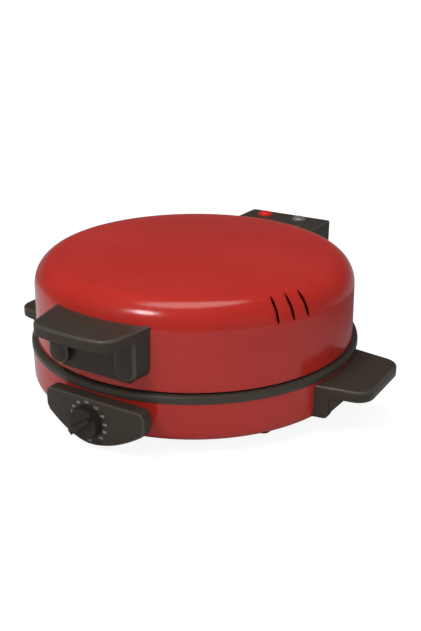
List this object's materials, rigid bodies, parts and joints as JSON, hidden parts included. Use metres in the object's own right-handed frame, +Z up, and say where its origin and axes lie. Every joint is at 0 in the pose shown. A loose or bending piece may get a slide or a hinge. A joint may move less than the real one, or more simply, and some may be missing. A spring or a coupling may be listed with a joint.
{
  "type": "electric pie maker",
  "caption": "Round electric pie maker with a hinged domed lid, side handles, a temperature dial and a baking pan.",
  "frame": {"origin": "under the middle of the whole footprint, on the plane that the feet stand on", "axes": "+Z up, -Y towards the user at the dial and lid handle, +X to the user's right, hinge axis along X at the back"},
  "size_m": [0.425, 0.427, 0.147],
  "materials": {
    "red_paint": "gloss stoved paint on pressed steel",
    "black_plastic": "satin moulded phenolic",
    "dial_plastic": "satin moulded phenolic",
    "rim_plastic": "satin moulded phenolic",
    "black_enamel": "black heat-proof paint",
    "nonstick": "cast dish with a black non-stick coat",
    "bright_sheet": "bright rolled sheet",
    "element_sheath": "oxidised element sheath",
    "plated_steel": "zinc plated",
    "bright_steel": "turned steel",
    "brass": "turned brass",
    "zinc_sheet": "galvanised sheet",
    "rubber": "moulded rubber",
    "ivory_ceramic": "unglazed ceramic",
    "lead_sleeve": "woven heat-proof sleeve",
    "red_lens": "moulded lens",
    "clear_lens": "smoky moulded lens",
    "lamp_glass": "blown glass",
    "board": "bare circuit board"
  },
  "bodies": {
    "base": {"base_shell": "red_paint", "bottom_cover": "zinc_sheet", "cover_screws": "plated_steel", "foot_front_left": "rubber", "foot_front_right": "rubber", "foot_rear_left": "rubber", "foot_rear_right": "rubber", "rim_ring": "rim_plastic", "lower_pan": "nonstick", "lower_reflector": "bright_sheet", "reflector_screws": "plated_steel", "lower_heater": "element_sheath", "lower_heater_clips": "plated_steel", "thermostat": "ivory_ceramic", "thermostat_nut": "brass", "thermal_fuse": "plated_steel", "fuse_strap": "plated_steel", "terminal_block": "ivory_ceramic", "internal_leads": "lead_sleeve", "cord_bush": "rubber", "dial_panel": "black_plastic", "panel_screws": "plated_steel", "handle_left": "black_plastic", "handle_right": "black_plastic", "side_handle_screws": "plated_steel", "hinge_bracket": "black_enamel", "bracket_screws": "plated_steel", "hinge_pin_left": "bright_steel", "hinge_pin_right": "bright_steel", "hinge_clips": "bright_steel"},
    "dial": {"dial_shaft": "bright_steel", "dial_knob": "dial_plastic"},
    "lid": {"lid_shell": "red_paint", "lid_trim_ring": "black_enamel", "upper_reflector": "bright_sheet", "trim_screws": "plated_steel", "upper_heater": "element_sheath", "upper_heater_clips": "plated_steel", "lid_handle": "black_plastic", "lid_handle_screws": "plated_steel", "hinge_housing": "black_plastic", "housing_screws": "plated_steel", "hinge_arm_left": "plated_steel", "hinge_arm_right": "plated_steel", "arm_screws": "plated_steel", "hinge_bush_left": "brass", "hinge_bush_right": "brass", "red_lens": "red_lens", "clear_lens": "clear_lens", "lamp_board": "board", "red_lamp": "lamp_glass", "clear_lamp": "lamp_glass"}
  },
  "joints": [
    {"name": "lid_hinge", "type": "hinge", "parent": "base", "child": "lid", "pos_m": [0, 0.184, 0.068], "axis": [-1, 0, 0], "range_deg": [0, 100]},
    {"name": "dial_turn", "type": "hinge", "parent": "base", "child": "dial", "pos_m": [0, -0.1895, 0.0285], "axis": [0, 1, 0], "range_deg": [0, 280]}
  ]
}
